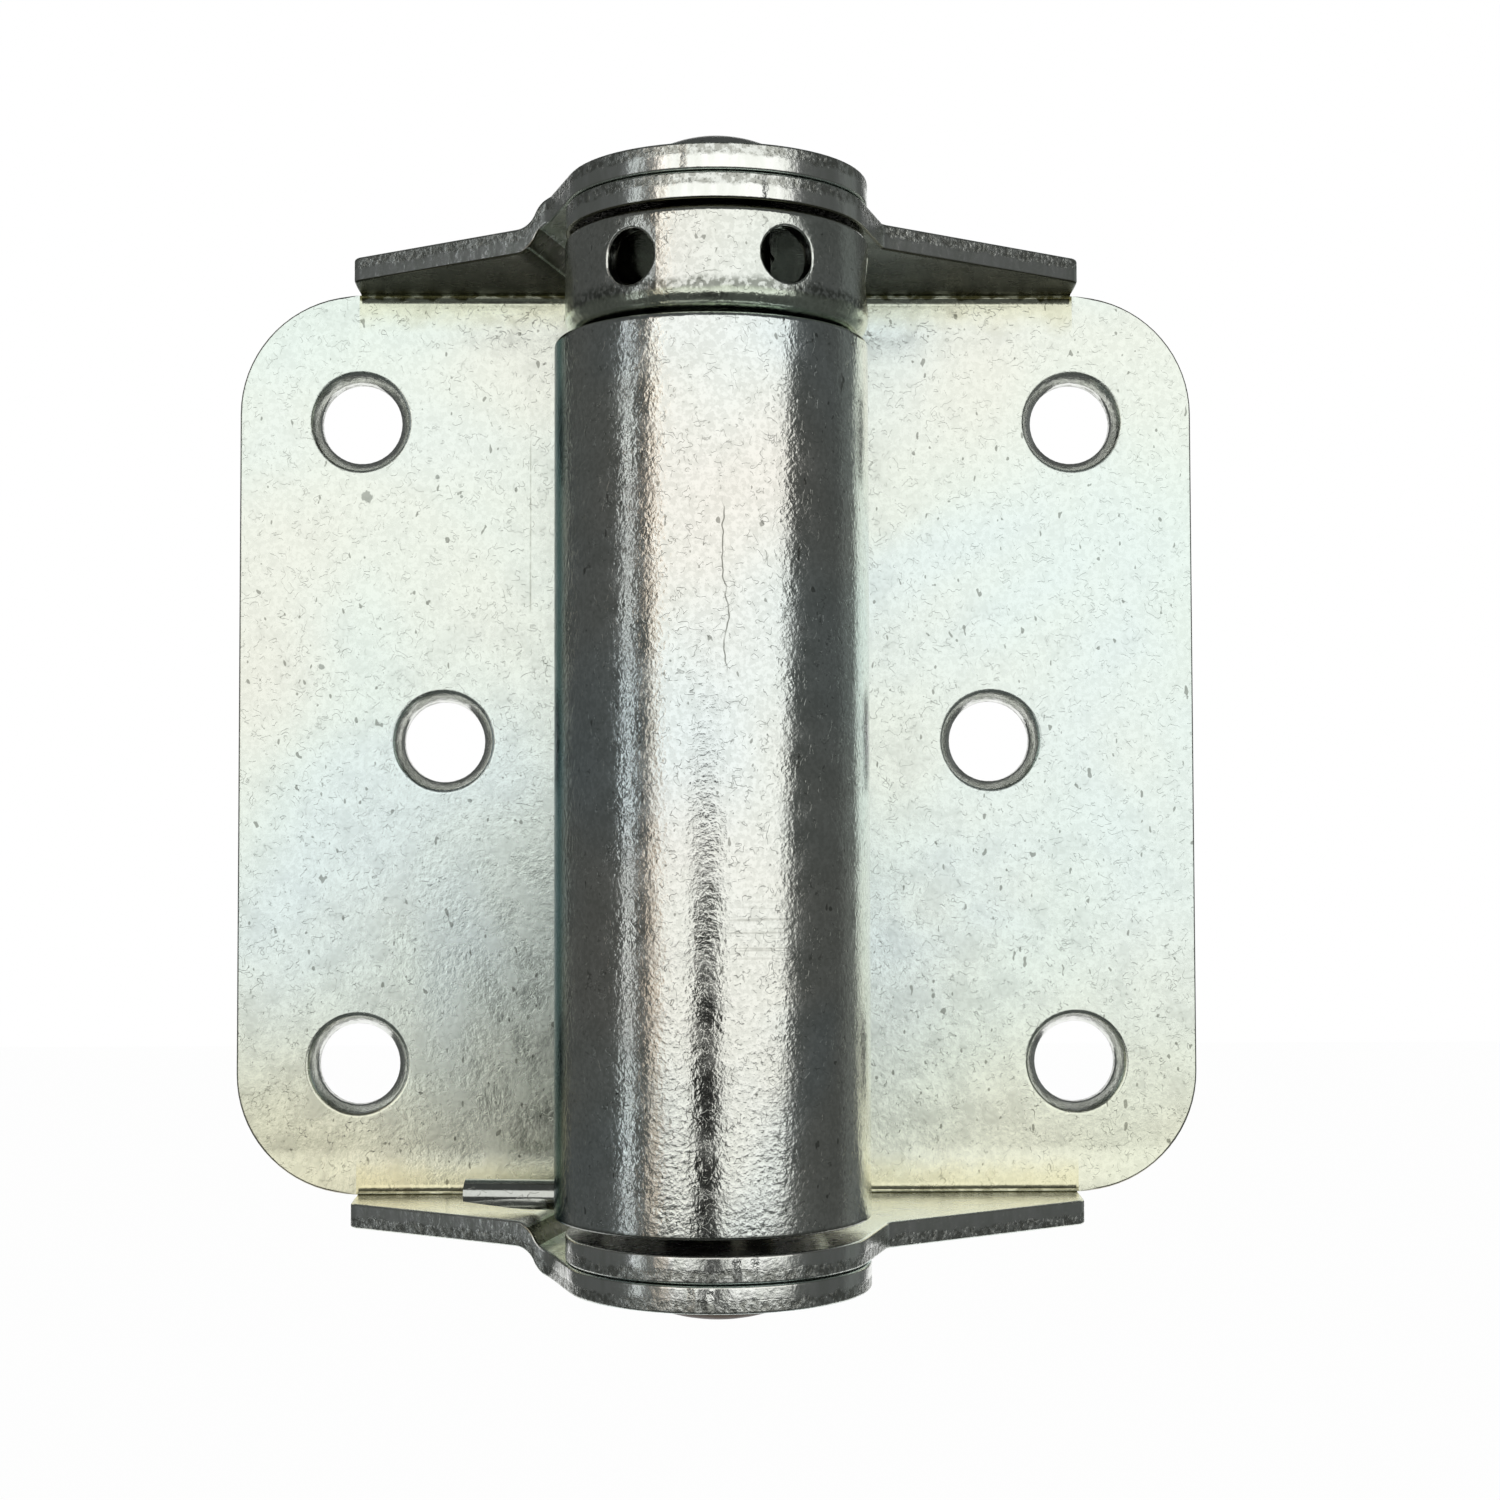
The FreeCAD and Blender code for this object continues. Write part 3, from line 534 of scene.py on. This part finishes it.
def ease_edges(shape, width):
    """Breaks the sharp edges by a small round, which stops short of the corners where three of them meet."""
    stop = EASE_STOP * width * MM
    shortest = 2.5 * stop
    reach = 0.9 * stop
    corners = [v for v in shape.verts if sum(is_sharp(e) for e in v.link_edges) > 2]
    for corner in corners:
        for edge in [e for e in corner.link_edges if is_sharp(e) and e.calc_length() > shortest]:
            bmesh.utils.edge_split(edge, corner, stop / edge.calc_length())
    places = [corner.co.copy() for corner in corners]

    def is_clear(edge):
        return all((v.co - place).length > reach for v in edge.verts for place in places)

    bmesh.ops.bevel(shape, geom=[e for e in shape.edges if is_sharp(e) and is_clear(e)], offset=width * MM,
                    offset_type="OFFSET", segments=3, profile=0.5, affect="EDGES", clamp_overlap=False)


def shade_smooth(mesh):
    """Smooth shading, broken at the edges that are sharp."""
    for polygon in mesh.polygons:
        polygon.use_smooth = True
    mesh.set_sharp_from_angle(angle=SMOOTH_ANGLE)


def add_piece(name, shape, materials, body, node):
    """A finished piece that stands for a CAD node and moves with its body."""
    mesh = bpy.data.meshes.new(name)
    shape.to_mesh(mesh)
    shape.free()
    shade_smooth(mesh)
    for material in materials:
        mesh.materials.append(material)
    piece = bpy.data.objects.new(name, mesh)
    bpy.context.scene.collection.objects.link(piece)
    weighted = piece.modifiers.new("even_shading", "WEIGHTED_NORMAL")
    weighted.keep_sharp = True
    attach(piece, body)
    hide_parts(node)


def ear_base(x, y, joggled):
    """Height of the ear's inner face, which the joggle lifts towards the ring."""
    if not joggled:
        return EAR_INSIDE
    along = x * math.cos(JOGGLE_SKEW) - y * math.sin(JOGGLE_SKEW)
    share = min(max((along - JOGGLE_START) / (JOGGLE_END - JOGGLE_START), 0.0), 1.0)
    return EAR_INSIDE + JOGGLE_RISE * share * share * (3 - 2 * share)


def cut_depth(point, joggled):
    """Where a point of a cut edge lies in the sheet: 0 at the face inside the fold, 1 at the other face."""
    x, y, z = from_axis(point)
    if y < FOLD_CENTRE[0]:
        return (abs(z) - ear_base(x, y, joggled)) / SHEET
    if abs(z) > FOLD_CENTRE[1] and abs(x) < FOLD_TO:
        return (math.hypot(y - FOLD_CENTRE[0], abs(z) - FOLD_CENTRE[1]) - BEND_RADIUS) / SHEET
    return (y - LEAF_FRONT) / SHEET


def is_cut(face):
    """True for a face that the blanking tool sheared, false for the rolled face of the sheet."""
    x, y, z = from_axis(face.calc_center_median())
    normal = face.normal
    if y < FOLD_CENTRE[0]:
        return abs(normal.z) < EAR_LEAN
    if abs(z) > FOLD_CENTRE[1] and FOLD_FROM - FOLD_SLACK < abs(x) < FOLD_TO - FOLD_SLACK:
        return abs(normal.x) > FOLD_END_LEAN
    return abs(normal.y) < PLATE_LEAN


def make_leaf(node, body, joggled, sheet, edge):
    """A leaf with eased edges and two finishes, one for the rolled sheet and one for its sheared edges."""
    shape = node_shape(node)
    ease_edges(shape, LEAF_EDGE)
    depth = shape.loops.layers.float.new("cut_depth")
    for face in shape.faces:
        face.material_index = 1 if is_cut(face) else 0
        for corner in face.loops:
            corner[depth] = cut_depth(corner.vert.co, joggled)
    add_piece(f"{node}_plated", shape, [sheet, edge], body, node)


def arc(centre, radius, start, end, steps):
    """Points of an arc in a turned profile, from one angle to another in degrees."""
    turns = [math.radians(start + (end - start) * k / steps) for k in range(steps + 1)]
    return [(centre[0] + radius * math.cos(turn), centre[1] + radius * math.sin(turn)) for turn in turns]


def barrel_profile(foot):
    """The tube's section from its inside foot, round the eased foot and up the outside to its eased top."""
    inner = BARREL_RADIUS - BARREL_WALL
    above_notch = NOTCH_TOP + 1.0
    rise = BARREL_TOP - BARREL_EDGE - above_notch
    ease = BARREL_EASE
    return ([(inner, above_notch)]
            + arc((inner + ease, foot + ease), ease, 180, 270, EASE_STEPS)
            + arc((BARREL_RADIUS - ease, foot + ease), ease, 270, 360, EASE_STEPS)
            + [(BARREL_RADIUS, above_notch + rise * k / BARREL_ROWS) for k in range(BARREL_ROWS)]
            + arc((BARREL_RADIUS - BARREL_EDGE, BARREL_TOP - BARREL_EDGE), BARREL_EDGE, 0, 90, 2 * EASE_STEPS)
            + arc((inner + ease, BARREL_TOP - ease), ease, 90, 180, EASE_STEPS))


def make_barrel(material):
    """The spring barrel, turned from its section, with the notch in its foot over the spring's tail."""
    half_gap = WIRE_RADIUS + NOTCH_CLEARANCE
    middle_radius = BARREL_RADIUS - BARREL_WALL / 2
    notch = [math.atan2(across, -math.sqrt(middle_radius ** 2 - across ** 2)) - TAIL_ANGLE
             for across in (COIL_RADIUS + half_gap, COIL_RADIUS - half_gap)]
    shape = bmesh.new()
    sections = {"whole": barrel_profile(BARREL_FOOT), "cut": barrel_profile(NOTCH_TOP)}
    columns, points = {}, {}

    def shared(turn, r, z):
        mark = (turn, round(r, 6), round(z, 6))
        if mark not in points:
            points[mark] = shape.verts.new(at(BARREL_SHIFT + r * math.cos(turn), r * math.sin(turn), z))
        return points[mark]

    def column(turn, kind):
        if (turn, kind) not in columns:
            columns[turn, kind] = [shared(turn, r, z) for r, z in sections[kind]]
        return columns[turn, kind]

    turns = sorted([2 * math.pi * k / BARREL_COLUMNS for k in range(BARREL_COLUMNS)] + notch)
    for k, turn in enumerate(turns):
        after = turns[(k + 1) % len(turns)]
        middle = turn + ((after - turn) % (2 * math.pi)) / 2
        kind = "cut" if notch[0] < middle < notch[1] else "whole"
        here, there = column(turn, kind), column(after, kind)
        for j in range(len(here)):
            i = (j + 1) % len(here)
            shape.faces.new((here[j], there[j], there[i], here[i]))
    foot_points = 2 * (EASE_STEPS + 1)
    for turn in notch:
        full, short = columns[turn, "whole"], columns[turn, "cut"]
        shape.faces.new(full[:foot_points + 2] + list(reversed(short[1:foot_points + 1])))
    bmesh.ops.remove_doubles(shape, verts=shape.verts, dist=1e-7)
    bmesh.ops.recalc_face_normals(shape, faces=shape.faces)
    add_piece("spring_barrel_rolled", shape, [material], "frame_side", "spring_barrel")


def roll_foot(shape):
    """Gives the collar's rolled-in foot its true round, down from where its outside starts to turn."""
    level = COLLAR_FOOT + COLLAR_ROLL
    lip = COLLAR_RADIUS - COLLAR_ROLL
    wall_middle = COLLAR_RADIUS - COLLAR_WALL / 2
    slack = 0.01

    def out(vert):
        x, y, z = from_axis(vert.co)
        return math.hypot(x, y)

    low = [f for f in shape.faces if from_axis(f.calc_center_median())[2] < level - slack]
    bmesh.ops.delete(shape, geom=low, context="FACES")
    rims = [e for e in shape.edges if e.is_boundary]
    ring = [e for e in rims if out(e.verts[0]) > wall_middle]
    inside = [e for e in rims if out(e.verts[0]) < wall_middle]
    steps = arc((lip, level), COLLAR_ROLL, 0, -90, ROLL_STEPS)[1:] + [(lip, COLLAR_FOOT + COLLAR_WALL)]
    for radius, height in steps:
        grown = bmesh.ops.extrude_edge_only(shape, edges=ring)["geom"]
        fresh = {v for v in grown if isinstance(v, bmesh.types.BMVert)}
        for vert in fresh:
            x, y, z = from_axis(vert.co)
            scale = radius / math.hypot(x, y)
            vert.co = at(x * scale, y * scale, height)
        ring = [e for e in grown if isinstance(e, bmesh.types.BMEdge) and set(e.verts) <= fresh]
    bmesh.ops.bridge_loops(shape, edges=ring + inside)
    bmesh.ops.recalc_face_normals(shape, faces=shape.faces)


def make_collar(material):
    """The winding collar with its rolled foot and eased holes."""
    shape = node_shape("tension_collar")
    roll_foot(shape)
    ease_edges(shape, COLLAR_EDGE)
    add_piece("tension_collar_pressed", shape, [material], "collar", "tension_collar")


def make_pin(material):
    """The rivet through the rings."""
    shape = node_shape("hinge_pin")
    add_piece("hinge_pin_riveted", shape, [material], "frame_side", "hinge_pin")


def wire_tree():
    """Geometry nodes that sweep a round wire along a drawn line."""
    tree = bpy.data.node_groups.new("sweep_wire", "GeometryNodeTree")
    sockets = tree.interface
    sockets.new_socket("Line", in_out="INPUT", socket_type="NodeSocketGeometry")
    sockets.new_socket("Wire Radius", in_out="INPUT", socket_type="NodeSocketFloat")
    sockets.new_socket("Sides", in_out="INPUT", socket_type="NodeSocketInt")
    sockets.new_socket("Wire Finish", in_out="INPUT", socket_type="NodeSocketMaterial")
    sockets.new_socket("Wire", in_out="OUTPUT", socket_type="NodeSocketGeometry")
    given = tree.nodes.new("NodeGroupInput").outputs
    ring = tree.nodes.new("GeometryNodeCurvePrimitiveCircle")
    sweep = tree.nodes.new("GeometryNodeCurveToMesh")
    real = tree.nodes.new("GeometryNodeRealizeInstances")
    coat = tree.nodes.new("GeometryNodeSetMaterial")
    result = tree.nodes.new("NodeGroupOutput")
    sweep.inputs["Fill Caps"].default_value = True
    tree.links.new(given["Wire Radius"], ring.inputs["Radius"])
    tree.links.new(given["Sides"], ring.inputs["Resolution"])
    tree.links.new(given["Line"], sweep.inputs["Curve"])
    tree.links.new(ring.outputs["Curve"], sweep.inputs["Profile Curve"])
    tree.links.new(sweep.outputs["Mesh"], real.inputs["Geometry"])
    tree.links.new(real.outputs["Geometry"], coat.inputs["Geometry"])
    tree.links.new(given["Wire Finish"], coat.inputs["Material"])
    tree.links.new(coat.outputs["Geometry"], result.inputs["Wire"])
    return tree


def tail_root():
    """Where the tail leaves the coil, from the pin axis, its direction outwards and its length."""
    start = Vector((math.sin(TAIL_ANGLE), math.cos(TAIL_ANGLE), 0)) * COIL_RADIUS
    outwards = Vector((-math.cos(TAIL_ANGLE), math.sin(TAIL_ANGLE), 0))
    return start, outwards, (TAIL_REACH + start.x) / math.cos(TAIL_ANGLE)


def spring_line():
    """The middle line of the spring's wire: the tail, the left-hand coil and the leg up into the collar."""
    start, outwards, tail_length = tail_root()
    points = []
    for k in range(TAIL_STEPS):
        place = start + outwards * tail_length * (1 - k / TAIL_STEPS)
        points.append(at(place.x, place.y, COIL_FOOT))
    steps = COIL_TURNS * TURN_STEPS
    first = math.pi / 2 - TAIL_ANGLE
    # The coil stops two steps short of its last turn, to leave room for the bend of the leg
    for k in range(steps - 1):
        turn = first - 2 * math.pi * COIL_TURNS * k / steps
        height = COIL_FOOT + (COIL_HEAD - COIL_FOOT) * k / steps
        points.append(at(COIL_RADIUS * math.cos(turn), COIL_RADIUS * math.sin(turn), height))
    for k in range(1, BEND_STEPS + 1):
        swing = math.pi / 2 * k / BEND_STEPS
        back = LEG_BEND * (1 - math.sin(swing))
        rise = LEG_BEND * (1 - math.cos(swing))
        place = start + outwards * back
        points.append(at(place.x, place.y, COIL_HEAD + rise))
    points.append(at(start.x, start.y, LEG_TOP))
    return points


def crop_tail(shape):
    """The slanting shear cut under the end of the spring's tail."""
    start, outwards, tail_length = tail_root()
    place = start + outwards * (tail_length - TAIL_CROP)
    normal = outwards * math.sin(TAIL_CROP_ANGLE) - Vector((0, 0, 1)) * math.cos(TAIL_CROP_ANGLE)
    beside_barrel = at(BARREL_SHIFT - BARREL_RADIUS - 0.05, 0, 0).x
    faces = {f for v in shape.verts if v.co.x < beside_barrel for f in v.link_faces}
    edges = {e for f in faces for e in f.edges}
    verts = {v for f in faces for v in f.verts}
    bmesh.ops.bisect_plane(shape, geom=list(verts) + list(edges) + list(faces),
                           plane_co=at(place.x, place.y, COIL_FOOT - WIRE_RADIUS),
                           plane_no=normal.normalized(), clear_outer=True)
    open_edges = [e for e in shape.edges if e.is_boundary]
    bmesh.ops.holes_fill(shape, edges=open_edges, sides=0)


def make_spring(material):
    """The torsion spring, which twists between its tail on the frame side and its leg on the door side."""
    line = bpy.data.curves.new("spring_line", "CURVE")
    line.dimensions = "3D"
    points = spring_line()
    spline = line.splines.new("POLY")
    spline.points.add(len(points) - 1)
    for point, place in zip(spline.points, points):
        point.co = (*place, 1.0)
    drawn = bpy.data.objects.new("spring_line", line)
    bpy.context.scene.collection.objects.link(drawn)
    tree = wire_tree()
    sweep = drawn.modifiers.new("sweep_wire", "NODES")
    sweep.node_group = tree
    sockets = {s.name: s.identifier for s in tree.interface.items_tree if s.in_out == "INPUT"}
    sweep[sockets["Wire Radius"]] = WIRE_RADIUS * MM
    sweep[sockets["Sides"]] = WIRE_SIDES
    sweep[sockets["Wire Finish"]] = material
    bpy.context.view_layer.update()
    mesh = bpy.data.meshes.new_from_object(drawn.evaluated_get(bpy.context.evaluated_depsgraph_get()))
    bpy.data.objects.remove(drawn)
    shape = bmesh.new()
    shape.from_mesh(mesh)
    crop_tail(shape)
    bmesh.ops.recalc_face_normals(shape, faces=shape.faces)
    shape.to_mesh(mesh)
    shape.free()
    shade_smooth(mesh)
    spring = bpy.data.objects.new("torsion_spring_wound", mesh)
    bpy.context.scene.collection.objects.link(spring)
    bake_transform(spring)
    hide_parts("torsion_spring")


def softbox(name, azimuth, elevation, width, height, radiance, tint):
    """A soft lamp one metre from the hinge. Azimuth 0 is on the camera's side, and right is positive."""
    turn, lift = math.radians(azimuth), math.radians(elevation)
    away = Vector((math.sin(turn) * math.cos(lift), -math.cos(turn) * math.cos(lift), math.sin(lift)))
    lamp = bpy.data.lights.new(name, "AREA")
    lamp.shape = "RECTANGLE"
    lamp.size = width
    lamp.size_y = height
    lamp.energy = radiance * math.pi * width * height
    lamp.color = tint
    holder = bpy.data.objects.new(name, lamp)
    holder.location = LAMP_AIM + away
    holder.rotation_euler = away.to_track_quat("Z", "Y").to_euler()
    bpy.context.scene.collection.objects.link(holder)


def white_for_view(name, share):
    """A pale matt surface, white to the camera and in the metal. A share below 1 lets some shadow show."""
    material = bpy.data.materials.new(name)
    material.use_nodes = True
    tree = material.node_tree
    tree.nodes.clear()
    path = tree.nodes.new("ShaderNodeLightPath")
    seen = path.outputs["Is Camera Ray"]
    for ray in ("Is Glossy Ray", "Is Transmission Ray"):
        either = tree.nodes.new("ShaderNodeMath")
        either.operation = "MAXIMUM"
        tree.links.new(seen, either.inputs[0])
        tree.links.new(path.outputs[ray], either.inputs[1])
        seen = either.outputs[0]
    weight = tree.nodes.new("ShaderNodeMath")
    weight.operation = "MULTIPLY"
    weight.inputs[1].default_value = share
    tree.links.new(seen, weight.inputs[0])
    matt = tree.nodes.new("ShaderNodeBsdfDiffuse")
    matt.inputs["Color"].default_value = (0.9, 0.9, 0.9, 1)
    glow = tree.nodes.new("ShaderNodeEmission")
    glow.inputs["Color"].default_value = CLEAR
    glow.inputs["Strength"].default_value = 1.0
    blend = tree.nodes.new("ShaderNodeMixShader")
    tree.links.new(weight.outputs[0], blend.inputs[0])
    tree.links.new(matt.outputs[0], blend.inputs[1])
    tree.links.new(glow.outputs[0], blend.inputs[2])
    out = tree.nodes.new("ShaderNodeOutputMaterial")
    tree.links.new(blend.outputs[0], out.inputs["Surface"])
    return material


def matt_black(name):
    """The dull black of the panel behind the camera."""
    material = bpy.data.materials.new(name)
    material.use_nodes = True
    shader = material.node_tree.nodes["Principled BSDF"]
    shader.inputs["Base Color"].default_value = (0.02, 0.02, 0.02, 1)
    shader.inputs["Roughness"].default_value = 0.6
    return material


def add_panel(name, corners, material):
    """A flat four-cornered piece of the studio."""
    mesh = bpy.data.meshes.new(name)
    mesh.from_pydata(corners, [], [(0, 1, 2, 3)])
    mesh.materials.append(material)
    panel = bpy.data.objects.new(name, mesh)
    bpy.context.scene.collection.objects.link(panel)
    return panel


def set_studio():
    """A dim room with softboxes, a white floor and backdrop, and a dark panel that only the metal mirrors."""
    world = bpy.data.worlds.new("dim_room")
    bpy.context.scene.world = world
    world.use_nodes = True
    room = world.node_tree.nodes["Background"]
    room.inputs["Color"].default_value = (0.95, 1.0, 0.98, 1)
    room.inputs["Strength"].default_value = 0.08
    softbox("front_softbox", azimuth=8, elevation=13, width=2.20, height=1.0, radiance=1.0,
            tint=(1.0, 1.0, 0.98))
    softbox("warm_strip", azimuth=-42, elevation=13, width=0.10, height=1.0, radiance=0.75,
            tint=(1.0, 0.84, 0.70))
    softbox("left_strip", azimuth=-62, elevation=5, width=0.09, height=0.9, radiance=1.1,
            tint=(0.92, 0.97, 1.0))
    softbox("right_fill", azimuth=120, elevation=5, width=0.4, height=1.0, radiance=0.06,
            tint=(0.9, 1.0, 0.95))
    near = [(side * FLOOR_FRONT_HALF, FLOOR_FRONT, FLOOR_LEVEL) for side in (-1, 1)]
    far = [(side * BACKDROP_HALF, BACKDROP_PLACE, FLOOR_LEVEL) for side in (1, -1)]
    top = [(side * BACKDROP_HALF, BACKDROP_PLACE, BACKDROP_TOP) for side in (1, -1)]
    add_panel("studio_floor", near + far, white_for_view("pale_floor", 0.985))
    add_panel("studio_backdrop", far[::-1] + top, white_for_view("pale_backdrop", 1.0))
    left, right = DARK_PANEL_SIDES
    low, high = DARK_PANEL_LEVELS
    body = add_panel("camera_body", [(left, DARK_PANEL_PLACE, low), (right, DARK_PANEL_PLACE, low),
                                     (right, DARK_PANEL_PLACE, high), (left, DARK_PANEL_PLACE, high)],
                     matt_black("camera_black"))
    body.visible_camera = False
    bpy.context.scene.view_settings.view_transform = "Standard"


place_camera()
set_studio()
leaf_finish = zinc_plate("leaf_zinc", LEAF_TINTS, marks=leaf_marks)
barrel_finish = zinc_plate("barrel_zinc", BARREL_TINTS, flecks=1.7, grain=2.5, gloss=0.16,
                           marks=barrel_marks, grease_shade=BARREL_GREASE_SHADE)
collar_finish = zinc_plate("collar_zinc", COLLAR_TINTS, flecks=1.7, grain=2.2, gloss=0.17,
                           marks=collar_marks, grease_shade=COLLAR_GREASE_SHADE)
pin_finish = zinc_plate("pin_zinc", PIN_TINTS, flecks=1.3, grain=1.4, gloss=0.22,
                        marks=pin_marks, grease_shade=PIN_GREASE_SHADE)
wire_finish = zinc_plate("wire_zinc", WIRE_TINTS, flecks=0.6, grain=0.4, gloss=0.14)
frame_edge = sheared_edge("frame_leaf_edge", upper_nib=-8.9, lower_nib=-6.4)
door_edge = sheared_edge("door_leaf_edge", upper_nib=14.2, lower_nib=9.8)
make_leaf("frame_leaf", "frame_side", True, leaf_finish, frame_edge)
make_leaf("door_leaf", "door_side", False, leaf_finish, door_edge)
make_barrel(barrel_finish)
make_collar(collar_finish)
make_pin(pin_finish)
make_spring(wire_finish)
